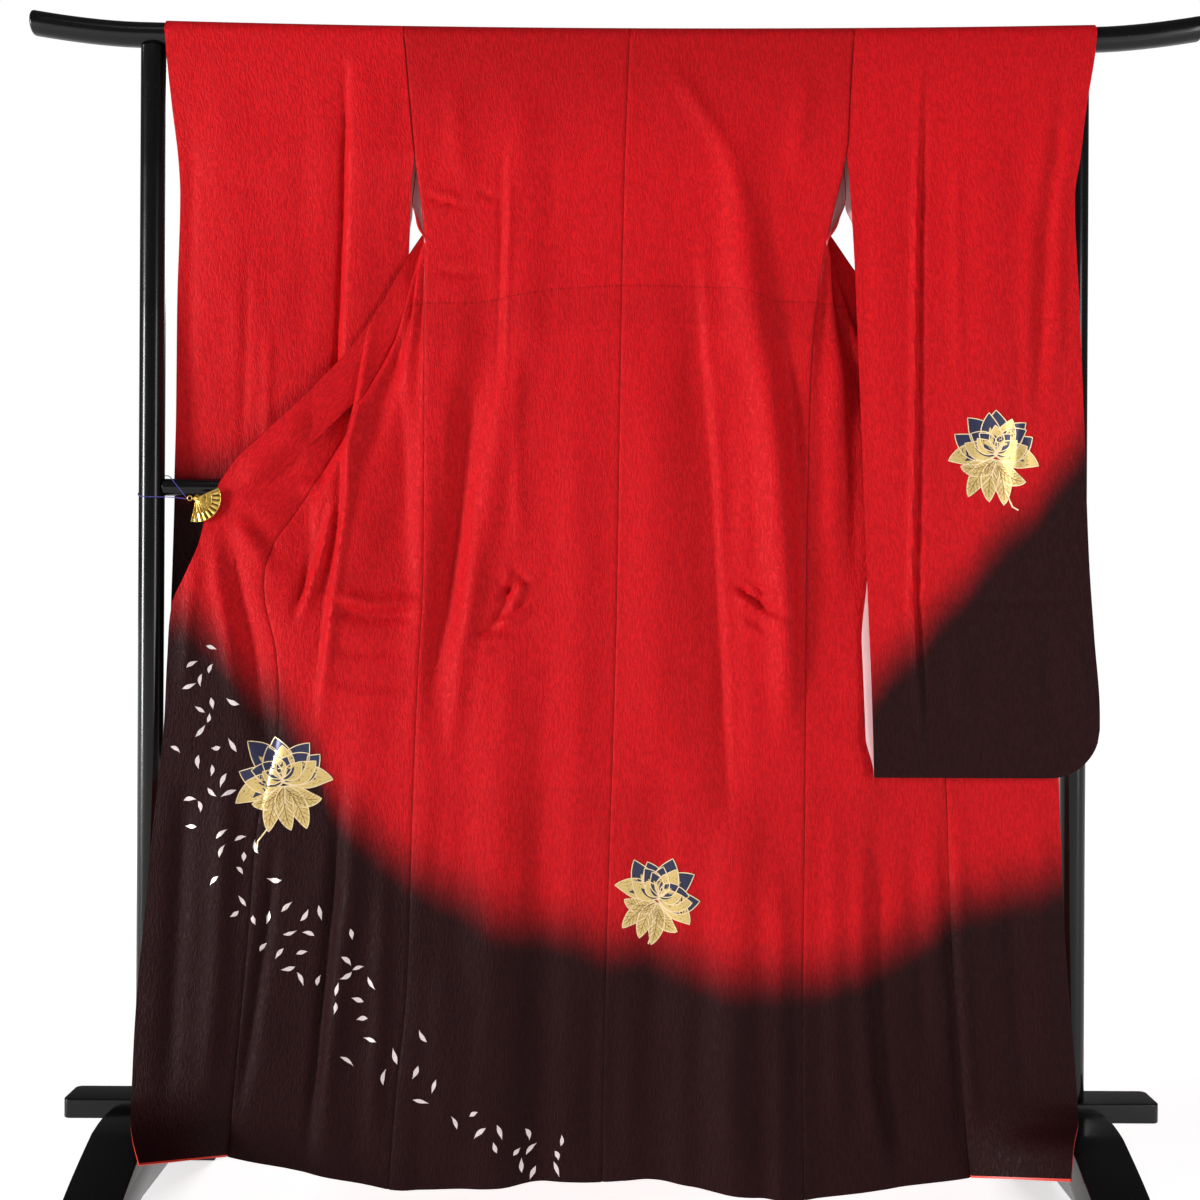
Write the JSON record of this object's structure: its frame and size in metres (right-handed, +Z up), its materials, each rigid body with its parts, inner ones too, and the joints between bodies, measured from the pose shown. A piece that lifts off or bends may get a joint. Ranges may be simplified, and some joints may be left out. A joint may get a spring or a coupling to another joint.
{
  "type": "furisode kimono on a kimono stand",
  "caption": "Long-sleeved lined silk kimono spread over the top bar of a free-standing black lacquered kimono stand, one front drawn aside by a clip.",
  "frame": {"origin": "on the floor under the middle of the stand", "axes": "+X to the viewer's right, +Y away from the viewer who sees the kimono's back, +Z up"},
  "size_m": [1.628, 0.6, 1.6934],
  "materials": {
    "crepe": "lined silk crepe, red shaded into dark brown, soft sheen",
    "lacquer": "gloss black lacquer",
    "gilt": "gilded, satin",
    "cord": "braided silk, dark blue-violet",
    "gold_foil": "stamped gold foil on cloth",
    "navy_dye": "dark blue dyed petals",
    "silver_foil": "stamped silver-white foil on cloth"
  },
  "bodies": {
    "root": {"body_left": "crepe", "body_right": "crepe", "okumi_left": "crepe", "okumi_right": "crepe", "collar": "crepe", "sleeve_left": "crepe", "sleeve_right": "crepe", "top_bar": "lacquer", "post_left": "lacquer", "post_right": "lacquer", "mid_rail": "lacquer", "plank": "lacquer", "foot_left": "lacquer", "foot_right": "lacquer", "clip_fan": "gilt", "clip_jaw": "gilt", "clip_ring": "gilt", "clip_cord": "cord"}
  },
  "joints": []
}
